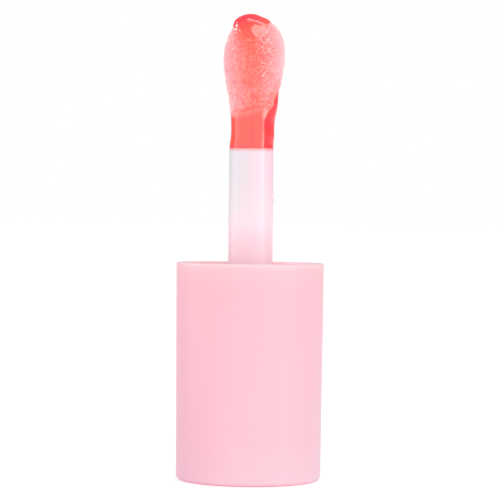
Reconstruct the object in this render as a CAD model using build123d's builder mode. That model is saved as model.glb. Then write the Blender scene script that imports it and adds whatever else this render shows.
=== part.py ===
from build123d import *
import os

# Screw cap of a jumbo lip-oil tube, with the wand and flocked applicator that it carries.
#
# Millimetres. The cap stands on its closed end, mouth up, so the wand points along +Z.
# The origin is the centre of the closed end's flat face. The applicator is wide along X and thin
# along Y, and its slanted working face looks along -Y.

FIT = 0.02  # radial gap that stands for a line-to-line press fit

# ---- outer cap -------------------------------------------------------------------------------
CAP_HEIGHT = 29.4
RIM_RADIUS = 10.0  # at the open end
BASE_RADIUS = 9.8  # at the closed end: the difference is moulding draft
BASE_ROUND = 0.65
RIM_ROUND = 0.22
MOUTH_BORE = 8.6  # above the insert
INSERT_BORE = 8.5  # around the insert
WELL_BORE = 7.9  # below the insert, which rests on the ledge between the two
CLOSED_END = 1.8

# ---- threaded insert, for a 15 mm bottle neck with 12 threads to the inch --------------------
PLATE_BACK_Z = 12.0
PLATE_FACE_Z = 13.4
INSERT_MOUTH_Z = 26.0
COLLAR_Z = 21.6
SKIRT_RADIUS = 8.05
COLLAR_RADIUS = INSERT_BORE - FIT
SNAP_Z = 23.4
SNAP_HEIGHT = 0.8
SNAP_DEPTH = 0.15
RIB_COUNT = 16
RIB_WIDTH = 0.8
THREAD_ROOT = 7.4
THREAD_CREST = 6.65
THREAD_PITCH = 2.117
THREAD_TURNS = 2.0
THREAD_START_Z = 19.6
THREAD_BASE_WIDTH = 1.3
THREAD_CREST_WIDTH = 0.5
THREAD_ROOTING = 0.1  # how deep the thread's profile is sunk into the skirt
MOUTH_CHAMFER = 0.4
BOSS_RADIUS = 4.3
BOSS_END_Z = 4.6

# ---- sealing washer --------------------------------------------------------------------------
WASHER_THICKNESS = 0.9

# ---- wand stem -------------------------------------------------------------------------------
TAIL_RADIUS = 2.5
TAIL_END_Z = 5.4
TAIL_RING_Z = 8.4
TAIL_RING_HEIGHT = 0.9
TAIL_RING_DEPTH = 0.18
FLANGE_RADIUS = 4.4
FLANGE_THICKNESS = 1.1
STEM_ROOT_RADIUS = 3.12
STEM_END_RADIUS = 2.97
STEM_END_Z = 45.0
STEM_END_ROUND = 0.08
CORE_BORE = 1.45
CORE_BORE_END_Z = 34.3
SOCKET_RADIUS = 1.6
SOCKET_Z = 39.5
NIB_RADIUS = 0.22  # vestige of the moulding gate
NIB_Z = 38.0

# ---- applicator tip --------------------------------------------------------------------------
BARB_Z = 41.4
BARB_HEIGHT = 0.7
BARB_DEPTH = 0.16
TENON_GAP = 0.1
NECK_RADIUS = 2.75
FLOCK_THICKNESS = 0.3
# height, half width along X, half thickness along Y, X and Y of the ellipse's centre
PADDLE_SECTIONS = [
    (49.2, 3.00, 3.00, 0.0, 0.00),
    (51.5, 3.30, 2.94, 0.0, 0.00),
    (54.2, 3.84, 2.84, 0.0, 0.04),
    (57.2, 4.20, 2.60, 0.0, 0.16),
    (59.8, 3.78, 2.14, 0.0, 0.38),
    (61.7, 2.66, 1.42, 0.0, 0.60),
    (62.5, 1.52, 0.82, 0.0, 0.70),
]
PADDLE_TIP = (0.0, 0.74, 62.85)

# ---- gloss left on the applicator ------------------------------------------------------------
FILM_RADIUS = 2.94
BEAD_SECTIONS = [
    (59.0, 1.90, 1.30, -0.30, -0.80),
    (60.0, 2.80, 1.95, -0.35, -0.05),
    (61.0, 2.98, 1.85, -0.35, 0.25),
    (61.9, 2.62, 1.55, -0.50, 0.50),
    (62.7, 1.92, 1.10, -0.52, 0.62),
]
BEAD_TIP = (-0.52, 0.68, 63.2)

os.makedirs("parts", exist_ok=True)


def ring_section(radius, depth, middle_z, height):
    """Adds a bead's cross section, as tall as height at its crest and depth proud of radius."""
    half_crest = height / 2
    half_foot = half_crest + depth
    Polygon(
        (radius - depth, middle_z - half_foot - depth),
        (radius + depth, middle_z - half_crest),
        (radius + depth, middle_z + half_crest),
        (radius - depth, middle_z + half_foot + depth),
        align=None,
    )


def lofted(sections, tip, skin=0.0):
    """Lofts ellipses up to a rounded tip, with a skin of that thickness taken off all round."""
    foot_z = sections[0][0]
    squeeze = (tip[2] - foot_z - skin) / (tip[2] - foot_z)
    with BuildPart() as solid:
        for height, half_width, half_thickness, x, y in sections:
            with BuildSketch(Plane.XY.offset(foot_z + (height - foot_z) * squeeze)):
                with Locations((x, y)):
                    Ellipse(half_width - skin, half_thickness - skin)
        loft(sections=[*solid.pending_faces, Vertex(tip[0], tip[1], tip[2] - skin)])
    return solid.part


paddle = lofted(PADDLE_SECTIONS, PADDLE_TIP)
paddle_core = lofted(PADDLE_SECTIONS, PADDLE_TIP, FLOCK_THICKNESS)
bead_envelope = lofted(BEAD_SECTIONS, BEAD_TIP)

# ---- outer cap: one moulded shell with a ledge and a snap groove for the insert ---------------
with BuildPart() as outer_cap:
    with BuildSketch(Plane.XZ):
        Polygon(
            (0, 0),
            (BASE_RADIUS, 0),
            (RIM_RADIUS, CAP_HEIGHT),
            (MOUTH_BORE, CAP_HEIGHT),
            (MOUTH_BORE, INSERT_MOUTH_Z),
            (INSERT_BORE, INSERT_MOUTH_Z),
            (INSERT_BORE, PLATE_BACK_Z),
            (WELL_BORE, PLATE_BACK_Z),
            (WELL_BORE, CLOSED_END),
            (0, CLOSED_END),
            align=None,
        )
    revolve(axis=Axis.Z)
    with BuildSketch(Plane.XZ):
        ring_section(INSERT_BORE, SNAP_DEPTH + FIT, SNAP_Z, SNAP_HEIGHT)
    revolve(axis=Axis.Z, mode=Mode.SUBTRACT)
    rim_edges = outer_cap.edges().filter_by_position(Axis.Z, CAP_HEIGHT, CAP_HEIGHT)
    fillet(rim_edges.filter_by(GeomType.CIRCLE), RIM_ROUND)
    base_edges = outer_cap.edges().filter_by_position(Axis.Z, 0, 0)
    fillet(base_edges.filter_by(GeomType.CIRCLE), BASE_ROUND)
outer_cap.part.label = "outer_cap"
export_step(outer_cap.part, "parts/outer_cap.step")

# ---- threaded insert: plate, boss for the wand, ribbed skirt with the thread ------------------
with BuildPart() as thread_insert:
    with BuildSketch(Plane.XZ):
        Polygon(
            (TAIL_RADIUS + FIT, BOSS_END_Z),
            (BOSS_RADIUS, BOSS_END_Z),
            (BOSS_RADIUS, PLATE_BACK_Z),
            (COLLAR_RADIUS, PLATE_BACK_Z),
            (COLLAR_RADIUS, PLATE_FACE_Z),
            (SKIRT_RADIUS, PLATE_FACE_Z),
            (SKIRT_RADIUS, COLLAR_Z),
            (COLLAR_RADIUS, COLLAR_Z + COLLAR_RADIUS - SKIRT_RADIUS),
            (COLLAR_RADIUS, INSERT_MOUTH_Z),
            (THREAD_ROOT + MOUTH_CHAMFER, INSERT_MOUTH_Z),
            (THREAD_ROOT, INSERT_MOUTH_Z - MOUTH_CHAMFER),
            (THREAD_ROOT, PLATE_FACE_Z),
            (TAIL_RADIUS + FIT, PLATE_FACE_Z),
            align=None,
        )
        ring_section(COLLAR_RADIUS, SNAP_DEPTH, SNAP_Z, SNAP_HEIGHT)
    revolve(axis=Axis.Z)
    with BuildSketch(Plane.XZ):
        ring_section(TAIL_RADIUS, TAIL_RING_DEPTH + FIT, TAIL_RING_Z, TAIL_RING_HEIGHT)
    revolve(axis=Axis.Z, mode=Mode.SUBTRACT)
    with BuildSketch(Plane.XY.offset(PLATE_FACE_Z)):
        with PolarLocations(SKIRT_RADIUS, RIB_COUNT):
            Rectangle(2 * (COLLAR_RADIUS - SKIRT_RADIUS), RIB_WIDTH)
    extrude(amount=COLLAR_Z + COLLAR_RADIUS - SKIRT_RADIUS - PLATE_FACE_Z)
    with BuildLine():
        Helix(THREAD_PITCH, THREAD_PITCH * THREAD_TURNS, THREAD_ROOT, center=(0, 0, THREAD_START_Z))
    with BuildSketch(Plane.XZ):
        Polygon(
            (THREAD_ROOT + THREAD_ROOTING, THREAD_START_Z - THREAD_BASE_WIDTH / 2),
            (THREAD_CREST, THREAD_START_Z - THREAD_CREST_WIDTH / 2),
            (THREAD_CREST, THREAD_START_Z + THREAD_CREST_WIDTH / 2),
            (THREAD_ROOT + THREAD_ROOTING, THREAD_START_Z + THREAD_BASE_WIDTH / 2),
            align=None,
        )
    sweep(is_frenet=True)
thread_insert.part.label = "thread_insert"
export_step(thread_insert.part, "parts/thread_insert.step")

# ---- sealing washer: lies on the plate, around the wand's flange ------------------------------
with BuildPart() as sealing_washer:
    with BuildSketch(Plane.XY.offset(PLATE_FACE_Z)):
        Circle(THREAD_ROOT - FIT)
        Circle(FLANGE_RADIUS + FIT, mode=Mode.SUBTRACT)
    extrude(amount=WASHER_THICKNESS)
sealing_washer.part.label = "sealing_washer"
export_step(sealing_washer.part, "parts/sealing_washer.step")

# ---- wand stem: ringed tail, flange, drafted shank, blind core bore and a socket for the tip --
with BuildPart() as stem:
    with BuildSketch(Plane.XZ):
        Polygon(
            (0, TAIL_END_Z),
            (TAIL_RADIUS, TAIL_END_Z),
            (TAIL_RADIUS, PLATE_FACE_Z),
            (FLANGE_RADIUS, PLATE_FACE_Z),
            (FLANGE_RADIUS, PLATE_FACE_Z + FLANGE_THICKNESS),
            (STEM_ROOT_RADIUS, PLATE_FACE_Z + FLANGE_THICKNESS),
            (STEM_END_RADIUS, STEM_END_Z),
            (0, STEM_END_Z),
            align=None,
        )
        ring_section(TAIL_RADIUS, TAIL_RING_DEPTH, TAIL_RING_Z, TAIL_RING_HEIGHT)
    revolve(axis=Axis.Z)
    fillet(stem.edges().filter_by_position(Axis.Z, STEM_END_Z, STEM_END_Z), STEM_END_ROUND)
    nib_share = (NIB_Z - PLATE_FACE_Z) / (STEM_END_Z - PLATE_FACE_Z)
    nib_x = STEM_ROOT_RADIUS + (STEM_END_RADIUS - STEM_ROOT_RADIUS) * nib_share
    with Locations((nib_x, 0, NIB_Z)):
        Sphere(NIB_RADIUS)
    with BuildSketch(Plane.XY.offset(TAIL_END_Z)):
        Circle(CORE_BORE)
    extrude(amount=CORE_BORE_END_Z - CORE_BORE - TAIL_END_Z, mode=Mode.SUBTRACT)
    with Locations((0, 0, CORE_BORE_END_Z - CORE_BORE)):
        Sphere(CORE_BORE, mode=Mode.SUBTRACT)
    with BuildSketch(Plane.XZ):
        Polygon(
            (0, SOCKET_Z),
            (SOCKET_RADIUS + FIT, SOCKET_Z),
            (SOCKET_RADIUS + FIT, STEM_END_Z),
            (0, STEM_END_Z),
            align=None,
        )
        ring_section(SOCKET_RADIUS, BARB_DEPTH + FIT, BARB_Z, BARB_HEIGHT)
    revolve(axis=Axis.Z, mode=Mode.SUBTRACT)
stem.part.label = "stem"
export_step(stem.part, "parts/stem.step")

# ---- applicator tip: barbed tenon, bare neck and the paddle under the flock -------------------
with BuildPart() as tip_core:
    with BuildSketch(Plane.XZ):
        Polygon(
            (0, SOCKET_Z + TENON_GAP),
            (SOCKET_RADIUS, SOCKET_Z + TENON_GAP),
            (SOCKET_RADIUS, STEM_END_Z),
            (NECK_RADIUS, STEM_END_Z),
            (NECK_RADIUS, PADDLE_SECTIONS[0][0]),
            (0, PADDLE_SECTIONS[0][0]),
            align=None,
        )
        ring_section(SOCKET_RADIUS, BARB_DEPTH, BARB_Z, BARB_HEIGHT)
    revolve(axis=Axis.Z)
    add(paddle_core)
tip_core.part.label = "tip_core"
export_step(tip_core.part, "parts/tip_core.step")

# ---- flock: the coat of short fibres all over the paddle --------------------------------------
with BuildPart() as flock_coat:
    add(paddle)
    add(paddle_core, mode=Mode.SUBTRACT)
flock_coat.part.label = "flock_coat"
export_step(flock_coat.part, "parts/flock_coat.step")

# ---- gloss film on the bare neck --------------------------------------------------------------
with BuildPart() as gloss_film:
    with BuildSketch(Plane.XY.offset(STEM_END_Z)):
        Circle(FILM_RADIUS)
        Circle(NECK_RADIUS, mode=Mode.SUBTRACT)
    extrude(amount=PADDLE_SECTIONS[0][0] - STEM_END_Z)
gloss_film.part.label = "gloss_film"
export_step(gloss_film.part, "parts/gloss_film.step")

# ---- gloss bead over the top of the paddle, heavier on the -X side ----------------------------
with BuildPart() as gloss_bead:
    add(bead_envelope)
    add(paddle, mode=Mode.SUBTRACT)
gloss_bead.part.label = "gloss_bead"
export_step(gloss_bead.part, "parts/gloss_bead.step")
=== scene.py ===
"""The looks of a lip-oil cap with its wand: satin cap, frosted stem, and a flocked tip wet with gloss.

The frame is in metres. Everything above the stem is worked out in millimetres, measured up from the
table, with angles in degrees around the wand: 0 at the front, 90 on the right.
"""

import math

import bpy
import numpy as np
from mathutils import Matrix, Vector, noise


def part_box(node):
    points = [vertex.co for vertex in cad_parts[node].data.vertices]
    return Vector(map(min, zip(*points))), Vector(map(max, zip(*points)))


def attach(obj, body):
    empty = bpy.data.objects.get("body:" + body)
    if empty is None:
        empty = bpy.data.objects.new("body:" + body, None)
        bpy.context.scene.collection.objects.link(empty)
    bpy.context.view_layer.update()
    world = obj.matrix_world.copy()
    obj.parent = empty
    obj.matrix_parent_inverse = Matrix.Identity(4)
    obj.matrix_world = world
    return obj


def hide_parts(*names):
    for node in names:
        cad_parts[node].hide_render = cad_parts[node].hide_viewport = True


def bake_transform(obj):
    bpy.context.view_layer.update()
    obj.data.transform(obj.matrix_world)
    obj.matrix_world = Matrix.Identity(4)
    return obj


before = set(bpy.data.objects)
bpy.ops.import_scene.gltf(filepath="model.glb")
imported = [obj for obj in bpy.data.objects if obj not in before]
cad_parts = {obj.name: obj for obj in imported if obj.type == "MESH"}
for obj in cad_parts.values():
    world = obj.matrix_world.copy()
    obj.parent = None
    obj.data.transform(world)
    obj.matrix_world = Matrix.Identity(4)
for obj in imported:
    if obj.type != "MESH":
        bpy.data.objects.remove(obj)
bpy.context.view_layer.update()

MM = 0.001
ROOT, TIP = "cap_and_wand", "tip"

# ---- heights taken from the frame ------------------------------------------------------------
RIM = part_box("outer_cap")[1].z / MM
STEM_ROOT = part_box("sealing_washer")[1].z / MM
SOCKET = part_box("tip_core")[0].z / MM
STEM_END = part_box("stem")[1].z / MM
TIP_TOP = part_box("flock_coat")[1].z / MM
STEM_ROUND = 0.08  # the rounding of the stem's end

# ---- where the flock's bed, the film and the bead end, out of sight under one another ---------
BED_FOOT, FILM_TOP, BEAD_FOOT = 49.0, 53.2, 58.3

# ---- the wand's outline above the stem -------------------------------------------------------
# height, half width, half thickness, set-back along +Y, shift along +X
OUTLINE = [
    (43.5, 2.97, 2.97, 0.00, 0.00),
    (45.0, 2.96, 2.96, 0.00, 0.00),
    (48.2, 2.93, 2.92, 0.00, 0.00),
    (51.5, 3.24, 2.92, 0.00, 0.00),
    (54.2, 3.78, 2.84, 0.04, 0.02),
    (57.2, 4.12, 2.60, 0.16, 0.08),
    (59.6, 3.78, 2.14, 0.36, 0.18),
    (61.3, 2.90, 1.42, 0.56, 0.17),
    (62.2, 1.80, 0.84, 0.66, 0.15),
    (62.68, 0.0, 0.0, 0.70, 0.13),
]
WAND_LEAN = math.radians(0.25)
LEAN_RISE = 1.8  # the height over which the tip takes up the lean

# ---- (angle, height) of the flock's lower edge, and of the bead's edge and crease -------------
FLOCK_EDGE = [
    (-90, 49.4),
    (-45, 49.5),
    (0, 49.9),
    (25, 50.25),
    (42, 50.5),
    (58, 51.5),
    (80, 52.65),
    (105, 51.9),
    (135, 50.3),
    (180, 49.8),
    (225, 49.5),
]
BEAD_EDGE = [
    (-90, 61.05),
    (-60, 60.75),
    (-40, 60.2),
    (-26, 59.35),
    (-18, 58.95),
    (-3, 58.9),
    (6, 59.2),
    (13, 59.7),
    (27, 60.55),
    (48, 61.4),
    (90, 62.05),
    (135, 61.7),
    (180, 61.1),
    (225, 60.9),
]
BEAD_CREASE = [
    (-90, 60.9),
    (-45, 61.2),
    (-10, 61.7),
    (18, 61.4),
    (38, 61.6),
    (90, 62.2),
    (150, 61.9),
    (210, 61.2),
]

# ---- (height, angle) of the left edge of the thick band of gloss on the neck ------------------
BAND_EDGE = [
    (45.0, 35),
    (46.5, 30),
    (48.2, 24),
    (49.05, 30),
    (49.4, 36),
    (49.85, 43),
    (50.33, 51),
    (50.8, 58),
]


def srgb(red, green, blue):
    """An 8-bit screen colour as the linear colour that shaders take."""
    levels = [level / 255 for level in (red, green, blue)]
    linear = [v / 12.92 if v <= 0.04045 else ((v + 0.055) / 1.055) ** 2.4 for v in levels]
    return (*linear, 1.0)


# ---- curves and surfaces ---------------------------------------------------------------------
def smooth_curve(points, x):
    """A smooth curve through (x, y) points, flat beyond its ends."""
    xs, ys = np.array(points, float).T
    slopes = np.gradient(ys, xs)
    x = np.clip(x, xs[0], xs[-1])
    i = np.clip(np.searchsorted(xs, x) - 1, 0, len(xs) - 2)
    span = xs[i + 1] - xs[i]
    s = (x - xs[i]) / span
    rise = (3 - 2 * s) * s * s
    return (
        (1 - rise) * ys[i]
        + rise * ys[i + 1]
        + span * (s * (1 - s) ** 2 * slopes[i] - s * s * (1 - s) * slopes[i + 1])
    )


def around(points, angle):
    """A smooth closed curve through (degrees, value) points."""
    before = [(a - 360, v) for a, v in points[-3:]]
    after = [(a + 360, v) for a, v in points[:3]]
    return smooth_curve(before + points + after, (angle + 90) % 360 - 90)


def ramp(x, low, high):
    """0 below low, 1 above high, and a smooth rise between them."""
    s = np.clip((x - low) / (high - low), 0, 1)
    return s * s * (3 - 2 * s)


def bell(x, middle, spread):
    """1 at the middle, falling to 0.37 at the spread and on to 0."""
    return np.exp(-(((x - middle) / spread) ** 2))


def outline_rows():
    """The outline's rows and the length along it to each one.

    A mirrored row past the top keeps the curve round there, so the top is the last row but one.
    """
    rows = np.array(OUTLINE)
    rows = np.vstack([rows, rows[-2] * (1, -1, -1, 1, 1)])
    steps = np.hypot(np.diff(rows[:, 0]), np.diff(rows[:, 1]))
    return rows, np.concatenate([[0], np.cumsum(steps)])


def outline_at(lengths):
    """Height, half width, half thickness, set-back and shift at lengths along the outline."""
    rows, along = outline_rows()
    return [smooth_curve(list(zip(along, column)), lengths) for column in rows.T]


def length_at(height):
    """The length along the outline at which it reaches a height."""
    top = outline_rows()[1][-2]
    lengths = np.linspace(0, top, 2000)
    heights = outline_at(lengths)[0]
    return float(np.interp(height, heights, lengths))


def wand_surface(low, high, rows, sides):
    """Points and outward normals of the wand between two heights, and each point's angle."""
    z, width, thickness, back, shift = outline_at(np.linspace(length_at(low), length_at(high), rows))
    lean = (z - STEM_ROOT) * math.tan(WAND_LEAN) * ramp(z, STEM_END, STEM_END + LEAN_RISE)
    degrees = np.linspace(-180, 180, sides, endpoint=False)
    angle = np.radians(degrees)
    column = [v[:, None] for v in (z, width, thickness, back, shift + lean)]
    z, width, thickness, back, shift = column
    points = np.stack(
        [
            shift + width * np.sin(angle),
            back - thickness * np.cos(angle),
            z + 0 * angle,
        ],
        axis=-1,
    )
    round_step = np.roll(points, -1, axis=1) - np.roll(points, 1, axis=1)
    up_step = np.gradient(points, axis=0)
    normals = np.cross(round_step, up_step)
    normals /= np.linalg.norm(normals, axis=-1, keepdims=True) + 1e-12
    return points, normals, np.broadcast_to(degrees, z.shape[:1] + degrees.shape)


def fine_noise(points, scale):
    """Perlin noise at each point, with that many lumps to the millimetre."""
    flat = points.reshape(-1, 3) * scale
    values = [noise.noise(Vector(p)) for p in flat]
    return np.array(values).reshape(points.shape[:-1])


# ---- meshes ----------------------------------------------------------------------------------
def add_object(name, data):
    """A new object in the scene."""
    obj = bpy.data.objects.new(name, data)
    bpy.context.scene.collection.objects.link(obj)
    return obj


def add_mesh(name, points, faces, values=None, smooth=True):
    """An object from points in millimetres, with named values at its points."""
    mesh = bpy.data.meshes.new(name)
    mesh.from_pydata((np.asarray(points) * MM).tolist(), [], faces)
    for key, numbers in (values or {}).items():
        layer = mesh.attributes.new(key, "FLOAT", "POINT")
        layer.data.foreach_set("value", np.asarray(numbers, np.float32).ravel())
    mesh.polygons.foreach_set("use_smooth", [smooth] * len(mesh.polygons))
    mesh.update()
    return add_object(name, mesh)


def ring_faces(count, sides, loop):
    """Quads between rings of points, and fans over the two ends unless the rings loop."""
    index = np.arange(count * sides).reshape(count, sides)
    lower = index if loop else index[:-1]
    upper = np.roll(index, -1, axis=0) if loop else index[1:]
    quads = np.stack([lower, np.roll(lower, -1, 1), np.roll(upper, -1, 1), upper], axis=-1)
    faces = quads.reshape(-1, 4).tolist()
    if not loop:
        first, last = index[0], index[-1]
        below, above = count * sides, count * sides + 1
        faces += [[int(b), int(a), below] for a, b in zip(first, np.roll(first, -1))]
        faces += [[int(a), int(b), above] for a, b in zip(last, np.roll(last, -1))]
    return faces


def ringed(name, rings, loop=False, values=None):
    """A closed object of rings of points. Its ends meet if loop, and otherwise each ends in a point."""
    count, sides = rings.shape[:2]
    points = rings.reshape(-1, 3)
    values = {key: np.asarray(v).ravel() for key, v in (values or {}).items()}
    if not loop:
        points = np.vstack([points, rings[0].mean(0), rings[-1].mean(0)])
        values = {
            key: np.concatenate([v, [v[:sides].mean(), v[-sides:].mean()]])
            for key, v in values.items()
        }
    return add_mesh(name, points, ring_faces(count, sides, loop), values)


# ---- materials -------------------------------------------------------------------------------
class Finish:
    """A Principled material, with short calls for the nodes that vary it over the object.

    Each call but the last two returns the output of a new node.
    """

    def __init__(self, name, **settings):
        self.material = bpy.data.materials.new(name)
        self.material.use_nodes = True
        self.nodes = self.material.node_tree.nodes
        self.links = self.material.node_tree.links
        self.shader = self.nodes["Principled BSDF"]
        self.place = self.nodes.new("ShaderNodeTexCoord").outputs["Object"]
        for key, value in settings.items():
            self.shader.inputs[key.replace("_", " ")].default_value = value

    def value(self, name):
        """A value that the mesh carries at its points."""
        node = self.nodes.new("ShaderNodeAttribute")
        node.attribute_name = name
        return node.outputs["Fac"]

    def along(self, axis):
        """Place along an axis of the frame, in metres."""
        node = self.nodes.new("ShaderNodeSeparateXYZ")
        self.links.new(self.place, node.inputs[0])
        return node.outputs[axis]

    def radius(self):
        """Distance from the cap's axis, in metres."""
        flat = self.nodes.new("ShaderNodeVectorMath")
        flat.operation = "MULTIPLY"
        flat.inputs[1].default_value = (1, 1, 0)
        self.links.new(self.place, flat.inputs[0])
        size = self.nodes.new("ShaderNodeVectorMath")
        size.operation = "LENGTH"
        self.links.new(flat.outputs["Vector"], size.inputs[0])
        return size.outputs["Value"]

    def noise(self, size, detail=3.0):
        """Noise with lumps of about that size, in millimetres."""
        node = self.nodes.new("ShaderNodeTexNoise")
        node.inputs["Scale"].default_value = 1 / (size * MM)
        node.inputs["Detail"].default_value = detail
        node.inputs["Roughness"].default_value = 0.55
        self.links.new(self.place, node.inputs["Vector"])
        return node.outputs["Fac"]

    def spread(self, source, low, high, to_low, to_high):
        """Source, stretched from one range to another."""
        node = self.nodes.new("ShaderNodeMapRange")
        node.inputs["From Min"].default_value = low
        node.inputs["From Max"].default_value = high
        node.inputs["To Min"].default_value = to_low
        node.inputs["To Max"].default_value = to_high
        self.links.new(source, node.inputs["Value"])
        return node.outputs["Result"]

    def colours(self, source, stops):
        """A colour ramp over source, from (position, colour) stops."""
        node = self.nodes.new("ShaderNodeValToRGB")
        elements = node.color_ramp.elements
        while len(elements) < len(stops):
            elements.new(0.5)
        for element, (position, colour) in zip(elements, stops):
            element.position, element.color = position, colour
        self.links.new(source, node.inputs["Fac"])
        return node.outputs["Color"]

    def mixed(self, share, first, second, way="MIX"):
        """The first colour, mixed with that share of the second."""
        node = self.nodes.new("ShaderNodeMix")
        node.data_type, node.blend_type = "RGBA", way
        for source, socket in ((share, 0), (first, 6), (second, 7)):
            if isinstance(source, (float, tuple)):
                node.inputs[socket].default_value = source
            else:
                self.links.new(source, node.inputs[socket])
        return node.outputs[2]

    def sum(self, first, second, factor):
        """first + second * factor"""
        node = self.nodes.new("ShaderNodeMath")
        node.operation = "MULTIPLY_ADD"
        self.links.new(second, node.inputs[0])
        node.inputs[1].default_value = factor
        self.links.new(first, node.inputs[2])
        return node.outputs[0]

    def product(self, first, second):
        node = self.nodes.new("ShaderNodeMath")
        node.operation = "MULTIPLY"
        self.links.new(first, node.inputs[0])
        self.links.new(second, node.inputs[1])
        return node.outputs[0]

    def set(self, socket, source):
        self.links.new(source, self.shader.inputs[socket])

    def bump(self, source, depth):
        """Relief of that depth in millimetres."""
        node = self.nodes.new("ShaderNodeBump")
        node.inputs["Distance"].default_value = depth * MM
        self.links.new(source, node.inputs["Height"])
        self.set("Normal", node.outputs["Normal"])


CAP_BORE, CAP_WALL, CAP_FOOT = 8.7, 9.3, 9.8  # radii inside the bore, in the wall and at the foot


def cap_finish():
    """Satin pink plastic: lighter at the rim, with painted light inside, painted shade on its sides that is
    strongest low down, and a deep pink line painted at the foot as its contact shade.
    """
    finish = Finish(
        "cap_pink",
        Subsurface_Weight=0.15,
        Subsurface_Scale=1.2 * MM,
        Subsurface_Radius=(1.0, 0.55, 0.6),
        Specular_IOR_Level=0.15,
    )
    level = finish.spread(finish.along("Z"), 0.0, RIM * MM, 0.0, 1.0)
    tint = finish.colours(
        finish.sum(level, finish.noise(6.0), 0.02),
        [
            (0.0, srgb(238, 197, 210)),
            (0.04, srgb(241, 193, 205)),
            (0.2, srgb(241, 188, 200)),
            (0.9, srgb(242, 184, 195)),
            (0.985, srgb(243, 189, 198)),
            (1.0, srgb(245, 200, 206)),
        ],
    )
    # Painted light: the bore is painted lighter, standing in for light that comes through the wall into it.
    inside = finish.spread(finish.radius(), CAP_BORE * MM, CAP_WALL * MM, 1.0, 0.0)
    tint = finish.mixed(inside, tint, srgb(255, 210, 217))
    # Painted contact shade and glow: a thin deep pink line along the foot, where the cap meets the floor.
    foot = finish.spread(finish.along("Z"), 0.08 * MM, 0.22 * MM, 1.0, 0.0)
    tint = finish.mixed(foot, tint, srgb(240, 130, 156))
    # Painted shade on the sides: darker and greyer on the left, a little cooler at the right edge, full low
    # down and half as strong at the rim.
    low = finish.spread(finish.along("Z"), 2.0 * MM, RIM * MM, 1.0, 0.5)
    shaded = finish.colours(
        finish.spread(finish.along("X"), -CAP_FOOT * MM, CAP_FOOT * MM, 0.0, 1.0),
        [
            (0.0, srgb(239, 231, 238)),
            (0.4, srgb(255, 255, 255)),
            (0.8, srgb(253, 255, 255)),
            (1.0, srgb(243, 254, 255)),
        ],
    )
    finish.set("Base Color", finish.mixed(low, tint, shaded, "MULTIPLY"))
    finish.set("Roughness", finish.spread(finish.noise(1.5), 0.3, 0.7, 0.38, 0.48))
    finish.bump(finish.noise(0.35), 0.004)
    return finish.material


def stem_finish():
    """Frosted plastic: milky above, pinker below where the pink cap's light is painted into it, with
    painted side shade and light above the cap, and red next to the gloss.
    """
    finish = Finish(
        "stem_frosted",
        Subsurface_Weight=0.5,
        Subsurface_Scale=1.5 * MM,
        Subsurface_Radius=(1.0, 0.8, 0.85),
        Roughness=0.32,
        Specular_IOR_Level=0.12,
        Coat_Weight=0.18,
        Coat_Roughness=0.12,
        Coat_IOR=1.3,
    )
    # Painted reflection: pinker low down, where the pink cap's light shows in the stem, and milky above.
    clouded = finish.sum(finish.along("Z"), finish.noise(4.0, 2.0), 1.5 * MM)
    upward = finish.spread(clouded, 30.0 * MM, 46.0 * MM, 0.0, 1.0)
    tint = finish.colours(
        upward,
        [
            (0.0, srgb(255, 212, 222)),
            (0.2, srgb(255, 214, 224)),
            (0.34, srgb(250, 224, 230)),
            (0.46, srgb(239, 224, 227)),
        ],
    )
    # Painted side shade and light: greyer on the left and pinker on the right, only above the cap.
    side = finish.spread(finish.along("X"), -2.5 * MM, 3.2 * MM, 0.0, 1.0)
    painted_side_shading = finish.colours(
        side,
        [(0.0, srgb(234, 245, 247)), (0.82, srgb(255, 237, 246)), (1.0, srgb(255, 224, 240))],
    )
    above_cap = finish.spread(finish.along("Z"), 32.0 * MM, 41.0 * MM, 0.0, 1.0)
    milky = finish.mixed(above_cap, tint, painted_side_shading, "MULTIPLY")
    glow = finish.spread(finish.along("Z"), (STEM_END - 0.8) * MM, (STEM_END - STEM_ROUND) * MM, 0.0, 1.0)
    glow = finish.product(glow, glow)
    finish.set("Base Color", finish.mixed(glow, milky, srgb(255, 96, 96)))
    return finish.material


MATTING, PATCHES = 0.28, 0.2  # how much fine matting and larger patches change the wetness of flock
FLOCK_STOPS = [(0.0, srgb(255, 193, 199)), (1.0, srgb(255, 102, 84))]
STRAND_STOPS = [(0.0, srgb(255, 236, 234)), (0.35, srgb(255, 193, 199)), (1.0, srgb(255, 116, 98))]
GLOSS_STOPS = [
    (0.0, srgb(255, 102, 82)),
    (0.35, srgb(255, 84, 74)),
    (0.7, srgb(255, 68, 72)),
    (1.0, srgb(255, 60, 80)),
]
BEAD_STOPS = [
    (0.0, srgb(255, 104, 84)),
    (0.3, srgb(255, 92, 80)),
    (0.6, srgb(255, 84, 86)),
    (1.0, srgb(255, 69, 83)),
]


def matted(finish):
    """How wet the flock looks, with painted sheen at its sides, mottled by its matting."""
    return finish.sum(finish.value("wet"), finish.noise(0.25, 1.0), MATTING)


def gloss_finish(name, stops, blur):
    """Sheer coral gloss: the deeper it lies, the redder it looks. Where it is thin, it shows the flock."""
    finish = Finish(
        name,
        Roughness=0.3,
        Specular_IOR_Level=0.0,
        Coat_Weight=1.0,
        Coat_Roughness=blur,
        Coat_IOR=1.3,
    )
    depth = finish.sum(finish.value("depth"), finish.noise(1.2), 0.12)
    tint = finish.colours(depth, stops)
    middle = MATTING / 2
    flock = finish.colours(finish.spread(matted(finish), middle, 1 + middle, 0.0, 1.0), FLOCK_STOPS)
    covered = finish.spread(finish.value("depth"), 0.1, 0.3, 0.0, 1.0)
    finish.set("Base Color", finish.mixed(covered, flock, tint))
    return finish.material


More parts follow.
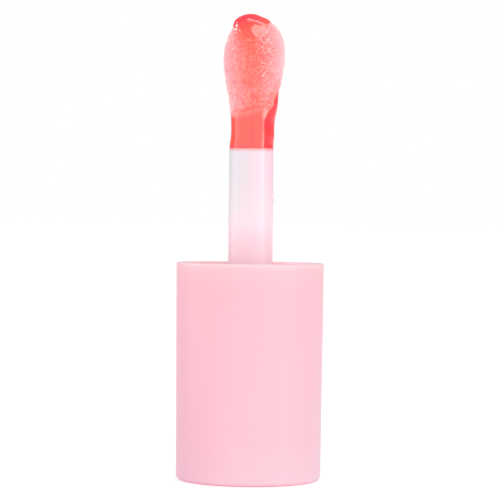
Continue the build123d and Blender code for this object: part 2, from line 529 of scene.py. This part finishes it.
def flock_finish(name, stops, lift, shine):
    """Nylon flock soaked with gloss: coral where it is wet, pale pink where fibres stand dry, where sheen
    is painted at its sides and where glints are painted as pale spots.

    A lift makes it paler, or redder if negative, and shine is the gloss on it where it is wet.
    """
    finish = Finish(
        name,
        Roughness=0.6,
        Specular_IOR_Level=0.0,
        Coat_Roughness=0.14,
        Coat_IOR=1.3,
    )
    mottled = finish.sum(matted(finish), finish.noise(0.9, 1.0), PATCHES)
    # Painted highlights: pale spots, standing in for glints of the lamps on wet fibres.
    painted_glint_spots = finish.spread(finish.noise(0.2, 0.0), 0.52, 0.66, 0.0, 1.0)
    mottled = finish.sum(mottled, finish.product(painted_glint_spots, finish.value("glints_and_fibres")), -0.34)
    middle = (MATTING + PATCHES) / 2 + lift
    tint = finish.colours(finish.spread(mottled, middle, 1 + middle, 0.0, 1.0), stops)
    finish.set("Base Color", tint)
    finish.set("Coat Weight", finish.spread(finish.value("wet"), 0.3, 0.8, 0.0, shine))
    return finish.material


def plain_finish(name, colour, roughness, grain):
    """Moulded plastic with a fine grain and a little unevenness in its gloss and colour."""
    finish = Finish(name, Subsurface_Weight=0.2, Subsurface_Scale=1.0 * MM)
    shade = tuple(0.9 * c for c in colour[:3]) + (1.0,)
    finish.set("Base Color", finish.colours(finish.noise(2.5), [(0.3, shade), (0.7, colour)]))
    finish.set("Roughness", finish.spread(finish.noise(1.0), 0.3, 0.7, roughness, roughness + 0.15))
    finish.bump(finish.noise(grain), 0.01)
    return finish.material


def paint(obj, material):
    """The object, with that material alone."""
    obj.data.materials.clear()
    obj.data.materials.append(material)
    return obj


# ---- pieces ----------------------------------------------------------------------------------
def bead_depth(points, degrees):
    """How far the bead of gloss stands over the flock, below 0 where there is none.

    It is fullest on the left, folds over a crease at the front, and breaks into small beads at its
    lower left. Its edge is blunt on the right and round on the left.
    """
    x, z = points[..., 0], points[..., 2]
    wobble = 0.12 * fine_noise(points, 1.6) + 0.06 * fine_noise(points, 4.0)
    wobble = wobble * (1 - 0.75 * bell(degrees, -78, 22) * ramp(z, 60.9, 61.2))
    beaded = 0.12 * fine_noise(points, 8.0) * bell(degrees, -70, 25) * (1 - ramp(z, 60.9, 61.3))
    over_edge = z - around(BEAD_EDGE, degrees) + wobble + beaded
    over_crease = z - around(BEAD_CREASE, degrees)
    left, right = ramp(-x, -1.8, 1.6), ramp(x, -0.5, 1.8) * ramp(z, 61.5, 62.3)
    body = ramp(over_crease, -0.2 - 1.0 * left, 1.2 - 0.3 * left)
    fold = ramp(over_crease, -0.14, 0.12) * (1 - ramp(over_crease, 0.3, 0.9)) * bell(degrees, 20, 32)
    full = 0.15 + (0.22 + 0.25 * left - 0.22 * right) * body + 0.08 * fold
    blunt, rounded = bell(degrees, 75, 35), bell(degrees, -90, 40)
    swell = ramp(over_edge / (0.95 - 0.55 * blunt), 0, 1) ** (1.1 - 0.55 * blunt - 0.45 * rounded)
    return full * swell - 0.25 * ramp(-over_edge, -0.05, 0.5)


def wetness_and_sheen(points, degrees):
    """How wet the flock is, and so how coral it is painted: soaked down the middle and beside most of the
    gloss, paler at the sides, which are drier and carry painted sheen of fibres seen edge-on.
    """
    x, z = points[..., 0], points[..., 2]
    aside = x - x.mean(axis=1, keepdims=True)
    half = aside.max(axis=1, keepdims=True)
    soaked = 1 - np.abs(np.clip(aside / half + 0.05, -1, 1)) ** 1.4
    soaked = soaked * (0.82 + 0.18 * ramp(z, 52.6, 54.0))
    over_edge = z - around(FLOCK_EDGE, degrees)
    over_pool = 0.5 * bell(degrees, 50, 34) * (1 - ramp(over_edge, 0.4, 3.4))
    over_film = (0.12 + 0.3 * bell(degrees, -55, 45)) * (1 - ramp(over_edge, -0.1, 0.9))
    left_of_bead = 0.5 * bell(x, -1.6, 0.75) * bell(z, 60.4, 0.9)
    right_of_bead = 0.3 * bell(x, 1.7, 0.6) * bell(z, 60.9, 0.7)
    return np.clip(soaked + over_pool + over_film + left_of_bead - right_of_bead, 0, 0.92)


def painted_glints_and_fibres(points, degrees):
    """Where the flock gets pale spots, painted as glints of the lamps on wet fibres, and more fibres: most
    on the right and low down.
    """
    x, z = points[..., 0], points[..., 2]
    right = bell(x, 1.7, 1.0) * ramp(z, 53.5, 55.0) * (1 - ramp(z, 59.4, 60.6))
    low = 1 - ramp(z, 51.5, 54.0)
    over_edge = z - around(FLOCK_EDGE, degrees)
    return np.clip(0.08 + 0.92 * right + 0.25 * low, 0, 1) * (0.4 + 0.6 * ramp(over_edge, 0, 1.5))


def film_depth(points, degrees):
    """How far the film of gloss stands over the neck's outline, below 0 under the flock.

    It pools under the flock on the right, and beside the pool a drip runs down to the stem.
    """
    z = points[..., 2]
    ragged = 0.2 * fine_noise(points, 1.8) + 0.25 * fine_noise(points, 4.5)
    over_edge = z - around(FLOCK_EDGE, degrees) + ragged
    pool = 0.22 * bell(degrees, 86, 26) * bell(z, 50.6, 1.4) * (1 - ramp(over_edge, -0.8, 0.2))
    ridge = 0.035 * (1 - ramp(z, 48.2, 49.2)) + 0.055 * bell(z, 48.0, 0.9)
    drip = ridge * bell(degrees, 27, 9)
    waves = 0.012 * fine_noise(points * (1, 1, 0.5), 0.7)
    off_stem = ramp(z, STEM_END, STEM_END + 0.4)
    tucked = ramp(over_edge, 0.1, 0.9 - 0.55 * bell(degrees, -60, 35))
    return pool + drip + waves * off_stem + 0.015 * (1 - off_stem) - 0.25 * tucked


def thick_band(points, degrees):
    """Where the gloss on the neck is thick: a band on the right, widest halfway up the neck."""
    edge = smooth_curve(BAND_EDGE, points[..., 2])
    return ramp(degrees, edge, edge + 6) * (1 - ramp(degrees, 130, 170))


def painted_highlight_wedge(points, degrees):
    """Where the gloss is painted paler as a highlight of the lamp on the right, in a wedge between the
    flock and the thick band.
    """
    wedge = ramp(degrees, 22, 26) * (1 - ramp(degrees, 60, 80)) * ramp(points[..., 2], 48.3, 49.3)
    return wedge * (1 - thick_band(points, degrees))


def film_colour(points, degrees):
    """How deep the gloss on the neck looks: deep in the band and the pool, and in a streak down the front
    that is partly painted dark reflection, shallow in the wedge of painted highlight.
    """
    z = points[..., 2]
    band = thick_band(points, degrees)
    strip_edge = 55 - 5 * fine_noise(points * (0, 0, 1), 0.5)
    strip = ramp(-degrees, strip_edge, strip_edge + 6) * (1 - ramp(-degrees, 110, 150))
    # Painted dark streak down the front of the neck: partly a drip of thicker gloss, partly a painted gap
    # between the reflected lamps.
    streak = bell(degrees, -1, 5) * ramp(z, 45.5, 46.2) * (1 - 0.75 * ramp(z, 47.2, 47.6))
    foot = 1 - ramp(z, STEM_END + 0.1, STEM_END + 0.6)
    pool = bell(degrees, 80, 30) * bell(z, 50.7, 1.2)
    full = 0.3 + 0.36 * band + 0.05 * strip + 0.22 * streak + 0.08 * foot + 0.25 * pool
    # Painted highlight: the wedge is painted paler.
    full = full * (1 - 0.8 * painted_highlight_wedge(points, degrees))
    return full * (1 - ramp(z - around(FLOCK_EDGE, degrees), -0.9, 0.5))


def upper_surface(low, rows, sides):
    """The wand's surface from a height to the top, without the last ring, which is only a point."""
    return [part[:-1] for part in wand_surface(low, TIP_TOP, rows, sides)]


def shell(name, outer, points, normals, values, thickness, every, loop=False):
    """A closed object with this outer surface, and an inner one that deep in the wand.

    The inner surface has one row for every few rows of the outer one, and the same values.
    """
    inner = (points - normals * thickness)[::-every]
    values = {key: np.concatenate([v[::-every], v]) for key, v in values.items()}
    return ringed(name, np.concatenate([inner, outer]), loop, values)


def make_flock_bed():
    """The matted bed of the flock, lumpy all over and sunk under the gloss at both ends.

    The other values are what the fibres need: the visible surface, its normals, wetness and angles.
    """
    points, normals, degrees = upper_surface(BED_FOOT, 180, 380)
    edge = around(FLOCK_EDGE, degrees)
    cover = ramp(points[..., 2], edge - 0.6, edge + 0.3)
    wet = wetness_and_sheen(points, degrees)
    lumps = 0.04 * fine_noise(points, 1.6) + 0.03 * fine_noise(points, 4.0)
    lumps = lumps + 0.05 * (1.3 - 0.8 * wet) * fine_noise(points, 8.0)
    under_bead = ramp(bead_depth(points, degrees), -0.02, 0.06)
    offset = (lumps - 0.03) * cover - 0.2 * (1 - cover) - 0.08 * under_bead
    outer = points + normals * offset[..., None]
    values = {"wet": wet, "glints_and_fibres": painted_glints_and_fibres(points, degrees)}
    bed = shell("flock_bed", outer, points, normals, values, thickness=0.4, every=6)
    gloss = np.maximum(film_depth(points, degrees), bead_depth(points, degrees))
    visible = points + normals * np.maximum(offset, gloss)[..., None]
    return bed, visible, normals, wet, degrees


FIBRES = 5000
FIBRE_STEPS = (0.0, 0.35, 0.7, 1.0)  # shares of a fibre's length at which its rings lie
FIBRE_TURNS = (90, 210, 330)  # degrees around a ring at which its corners lie


def fibre_chance(surface, degrees, glints_and_fibres):
    """How likely a fibre lies at each point: on open flock, more among the painted glints, less where
    soaked.
    """
    x, z = surface[..., 0], surface[..., 2]
    across = np.linalg.norm(np.roll(surface, -1, axis=1) - surface, axis=-1)
    up = np.linalg.norm(np.gradient(surface, axis=0), axis=-1)
    edge = around(FLOCK_EDGE, degrees)
    open_flock = ramp(z, edge - 0.5, edge + 0.9) * (1 - ramp(bead_depth(surface, degrees), -0.02, 0.06))
    soaked = bell(x, -0.3, 1.1) * ramp(z, 53.0, 54.5)
    chance = (across * up * open_flock * (1 - 0.8 * soaked) * (1 + 1.2 * glints_and_fibres)).ravel()
    return chance / chance.sum()


def fibre_faces():
    """The faces of all fibres: each one's sides from ring to ring, then its two ends."""
    rings, corners = len(FIBRE_STEPS), len(FIBRE_TURNS)
    sides = []
    for ring in range(rings - 1):
        for corner in range(corners):
            a, b = corners * ring + corner, corners * ring + (corner + 1) % corners
            sides.append([a, b, b + corners, a + corners])
    first, last = range(corners), range(corners * (rings - 1), corners * rings)
    one = sides + [list(reversed(first)), list(last)]
    return [[corners * rings * fibre + v for v in face] for fibre in range(FIBRES) for face in one]


def make_fibres(surface, normals, wet, degrees):
    """Short matted fibres that lie in the flock, sunk where it is wet and proud where it is dry."""
    rng = np.random.default_rng(11)
    glints_and_fibres = painted_glints_and_fibres(surface, degrees)
    chance = fibre_chance(surface, degrees, glints_and_fibres)
    picked = rng.choice(chance.size, FIBRES, p=chance)
    base = surface.reshape(-1, 3)[picked]
    normal = normals.reshape(-1, 3)[picked]
    wet, glints_and_fibres = wet.ravel()[picked], glints_and_fibres.ravel()[picked]
    side = np.cross(normal, (0, 0, 1.0))
    side /= np.linalg.norm(side, axis=1, keepdims=True) + 1e-9
    up = np.cross(side, normal)
    swirl = 1.5 * math.pi * np.array([noise.noise(Vector(p * 0.5)) for p in base])
    heading = swirl + rng.normal(0, 0.8, FIBRES)
    run = side * np.cos(heading)[:, None] + up * np.sin(heading)[:, None]
    across = np.cross(normal, run)
    bend = across * rng.normal(0, 0.12, FIBRES)[:, None]
    length = rng.uniform(0.25, 0.5, FIBRES)[:, None]
    lift = (rng.uniform(0.03, 0.06, FIBRES) * (1.7 - wet))[:, None]
    girth = (rng.uniform(0.02, 0.034, FIBRES) * (1 + 0.6 * glints_and_fibres))[:, None]
    corners = []
    for step in FIBRE_STEPS:
        spine = base + (run * step + bend * step * step) * length
        spine = spine + normal * (lift * math.sin(math.pi * (0.15 + 0.6 * step)) - 0.01)
        radius = girth * (1 - 0.65 * step)
        for turn in np.radians(FIBRE_TURNS):
            corners.append(spine + (across * math.cos(turn) + normal * math.sin(turn)) * radius)
    points = np.stack(corners, axis=1).reshape(-1, 3)
    shade = np.minimum(rng.normal(-0.3, 1.0, FIBRES), 0.25)
    shaded = np.repeat(wet + (0.12 + 0.45 * glints_and_fibres) * shade, len(corners))
    values = {"wet": shaded, "glints_and_fibres": np.zeros_like(shaded)}
    return add_mesh("flock_fibres", points, fibre_faces(), values, smooth=False)


def make_bead():
    """The bead of gloss over the top of the paddle, with its pool running down the front."""
    points, normals, degrees = upper_surface(BEAD_FOOT, 150, 360)
    depth = bead_depth(points, degrees)
    outer = points + normals * depth[..., None]
    # Painted deeper red along the bead's top and left outline, standing in for light passing through more
    # gloss where it is seen edge-on.
    rim = ramp(outer[..., 2], 61.6, 62.7) + ramp(-outer[..., 0], 1.5, 2.4)
    lip = bell(points[..., 2] - around(BEAD_EDGE, degrees), 0.22, 0.12) * bell(degrees, -8, 14)
    look = np.clip(0.1 + (0.9 + 0.9 * rim) * depth + 0.25 * lip, 0, 1)
    values = {"depth": look, "wet": wetness_and_sheen(points, degrees)}
    return shell("bead_of_gloss", outer, points, normals, values, thickness=0.38, every=6)


def make_film():
    """The film of gloss on the bare neck, pooled against the flock on the right."""
    points, normals, degrees = wand_surface(STEM_END - STEM_ROUND, FILM_TOP, 160, 320)
    outer = points + normals * film_depth(points, degrees)[..., None]
    # The painted highlight wedge also makes the flock under it paler.
    wet = wetness_and_sheen(points, degrees) - 0.08 * painted_highlight_wedge(points, degrees)
    values = {"depth": film_colour(points, degrees), "wet": wet}
    return shell("film_of_gloss", outer, points, normals, values, thickness=0.18, every=4, loop=True)


def make_core():
    """The soft tip under the gloss and flock: tenon with its barb, neck and paddle."""
    tenon_radius, barb_radius, under_flock = 1.6, 1.76, 0.3
    points, normals, degrees = upper_surface(STEM_END, 60, 96)
    paddle = points - normals * under_flock
    angle = np.radians(degrees[0])
    tenon = [
        (tenon_radius, SOCKET),
        (tenon_radius, 40.9),
        (barb_radius, 41.05),
        (barb_radius, 41.75),
        (tenon_radius, 41.9),
        (tenon_radius, STEM_END),
    ]
    rings = [
        np.stack([radius * np.sin(angle), -radius * np.cos(angle), z + 0 * angle], axis=-1)
        for radius, z in tenon
    ]
    return ringed("soft_tip", np.concatenate([np.array(rings), paddle]))


film = paint(make_film(), gloss_finish("gloss_on_neck", GLOSS_STOPS, 0.05))
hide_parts("gloss_film")
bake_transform(film)

core = paint(make_core(), plain_finish("soft_elastomer", srgb(246, 170, 165), 0.4, 0.4))
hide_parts("tip_core")
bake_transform(core)

flock, *flock_surface = make_flock_bed()
paint(flock, flock_finish("flock_matted", FLOCK_STOPS, 0.0, 0.8))
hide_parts("flock_coat")
fibres = make_fibres(*flock_surface)
paint(fibres, flock_finish("flock_strands", STRAND_STOPS, -0.1, 0.0))
bead = paint(make_bead(), gloss_finish("gloss_on_tip", BEAD_STOPS, 0.02))
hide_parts("gloss_bead")
for piece, name in ((flock, "flock_coat"), (fibres, "flock_coat"), (bead, "gloss_bead")):
    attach(piece, TIP)

insert_white = plain_finish("natural_polypropylene", srgb(238, 232, 232), 0.35, 0.5)
washer_white = plain_finish("foamed_polyethylene", srgb(240, 238, 234), 0.6, 0.2)
paint(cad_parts["outer_cap"], cap_finish())
paint(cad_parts["stem"], stem_finish())
paint(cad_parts["thread_insert"], insert_white)
paint(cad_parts["sealing_washer"], washer_white)

# ---- camera ----------------------------------------------------------------------------------
EYE_HEIGHT = 36.4 * MM
EYE_SHIFT = -0.05 * MM
EYE_DISTANCE = 320 * MM
LENS, SENSOR = 170.0, 36.0
PITCH = math.radians(-0.946)
ROLL = math.radians(0.6)


def add_camera():
    """A long lens almost level with the wand, turned a little down and rolled a little."""
    lens = bpy.data.cameras.new("camera")
    lens.lens, lens.sensor_width = LENS, SENSOR
    lens.clip_start, lens.clip_end = 0.01, 20.0
    camera = add_object("camera", lens)
    camera.location = (EYE_SHIFT, -EYE_DISTANCE, EYE_HEIGHT)
    look = Matrix.Rotation(math.radians(90) + PITCH, 4, "X") @ Matrix.Rotation(ROLL, 4, "Z")
    camera.rotation_euler = look.to_euler()
    bpy.context.scene.camera = camera


add_camera()

# ---- floor and light -------------------------------------------------------------------------
FLOOR_HALF = 6000  # in millimetres
FLOOR_GLOW = 0.57
LAMP_DISTANCE = 0.6  # in metres
WORLD_DIFFUSE, WORLD_GLOSSY, WORLD_SEEN = 1.1, 0.4, 1.0


def make_floor():
    """A white floor that gives off about half of its own light, so no dark line lies under the cap."""
    finish = Finish(
        "floor_white",
        Base_Color=(0.5, 0.5, 0.5, 1.0),
        Specular_IOR_Level=0.0,
        Emission_Color=(1.0, 1.0, 1.0, 1.0),
        Emission_Strength=FLOOR_GLOW,
    )
    half = FLOOR_HALF
    corners = [(-half, -half, 0), (half, -half, 0), (half, half, 0), (-half, half, 0)]
    return paint(add_mesh("floor", corners, [(0, 1, 2, 3)], smooth=False), finish.material)


def softbox(name, azimuth, elevation, wide, tall, radiance, roll=0.0, seen=True):
    """A rectangular lamp aimed at the tip. Its place and its size are in degrees, as seen from there.

    Azimuth 0 is the camera's side, and 90 is the right. A seen lamp shows only in reflections, and an
    unseen one only lights the surfaces softly.
    """
    a, e = math.radians(azimuth), math.radians(elevation)
    way = Vector((math.sin(a) * math.cos(e), -math.cos(a) * math.cos(e), math.sin(e)))
    lamp = bpy.data.lights.new(name, "AREA")
    lamp.shape = "RECTANGLE"
    lamp.size = 2 * LAMP_DISTANCE * math.tan(math.radians(wide / 2))
    lamp.size_y = 2 * LAMP_DISTANCE * math.tan(math.radians(tall / 2))
    lamp.energy = radiance * math.pi * lamp.size * lamp.size_y
    obj = add_object(name, lamp)
    turn = Matrix.Rotation(math.radians(roll), 4, "Z")
    obj.matrix_world = (
        Matrix.Translation(Vector((0, 0, TIP_TOP * MM)) + way * LAMP_DISTANCE)
        @ way.to_track_quat("Z", "Y").to_matrix().to_4x4()
        @ turn
    )
    obj.visible_glossy = seen
    obj.visible_diffuse = not seen


def light_world():
    """White all around, with a strength for soft light, one for reflections and one for the view."""
    world = bpy.data.worlds.new("studio")
    bpy.context.scene.world = world
    world.use_nodes = True
    nodes, links = world.node_tree.nodes, world.node_tree.links
    path = nodes.new("ShaderNodeLightPath")
    lit = nodes["Background"]
    lit.inputs["Strength"].default_value = WORLD_DIFFUSE
    for ray, strength in (("Is Glossy Ray", WORLD_GLOSSY), ("Is Camera Ray", WORLD_SEEN)):
        other, mix = nodes.new("ShaderNodeBackground"), nodes.new("ShaderNodeMixShader")
        other.inputs["Strength"].default_value = strength
        links.new(path.outputs[ray], mix.inputs[0])
        links.new(lit.outputs[0], mix.inputs[1])
        links.new(other.outputs[0], mix.inputs[2])
        lit = mix
    links.new(lit.outputs[0], nodes["World Output"].inputs["Surface"])
    for node in nodes:
        if node.type == "BACKGROUND":
            node.inputs["Color"].default_value = (1, 1, 1, 1)


floor = make_floor()
softbox("key_right", 64, 5, 22, 60, 11.0)
softbox("panel_right", 28, 0, 54, 50, 4.4)
softbox("panel_left", -30, 0, 58, 50, 4.4)
softbox("panel_side", -83, 0, 48, 50, 4.4)
softbox("top_front", 32, 51, 32, 48, 12.0, roll=15)
softbox("spark_left", -103, 21, 22, 12, 60.0)
softbox("fill_right", 40, 15, 60, 50, 0.4, seen=False)

light_world()

view = bpy.context.scene.view_settings
view.view_transform = "Standard"
view.look = "None"
